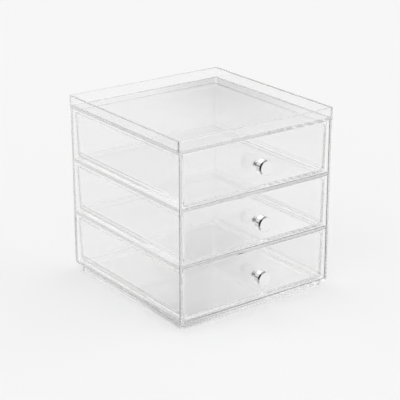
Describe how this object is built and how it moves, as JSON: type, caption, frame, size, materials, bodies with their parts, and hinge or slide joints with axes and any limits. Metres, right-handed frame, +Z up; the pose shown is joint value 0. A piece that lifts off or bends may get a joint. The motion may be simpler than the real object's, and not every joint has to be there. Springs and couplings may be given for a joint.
{
  "type": "plastic drawer chest",
  "caption": "Clear plastic tabletop chest with sliding drawers, round chrome knobs, a shallow lipped tray on top and a foot ring that nests in the lip of a chest below.",
  "frame": {"origin": "on the surface the chest stands on, midway between its sides and midway between the case's front and back", "axes": "+Z up, the drawers open towards -Y, +X to the right seen from the front"},
  "size_m": [0.1676, 0.1822, 0.1715],
  "materials": {
    "clear_case": "polished clear",
    "clear_drawer": "polished clear",
    "chrome_knob": "polished",
    "steel_screw": "bright plated"
  },
  "bodies": {
    "case": {"case_shell": "clear_case", "shelf_lower": "clear_case", "shelf_upper": "clear_case", "top_tray": "clear_case"},
    "bottom_drawer": {"drawer_bottom": "clear_drawer", "knob_bottom": "chrome_knob", "screw_bottom": "steel_screw"},
    "middle_drawer": {"drawer_middle": "clear_drawer", "knob_middle": "chrome_knob", "screw_middle": "steel_screw"},
    "top_drawer": {"drawer_top": "clear_drawer", "knob_top": "chrome_knob", "screw_top": "steel_screw"}
  },
  "joints": [
    {"name": "bottom_drawer_slide", "type": "slide", "parent": "case", "child": "bottom_drawer", "axis": [0, -1, 0], "range_m": [0, 0.125]},
    {"name": "middle_drawer_slide", "type": "slide", "parent": "case", "child": "middle_drawer", "axis": [0, -1, 0], "range_m": [0, 0.125]},
    {"name": "top_drawer_slide", "type": "slide", "parent": "case", "child": "top_drawer", "axis": [0, -1, 0], "range_m": [0, 0.125]}
  ]
}
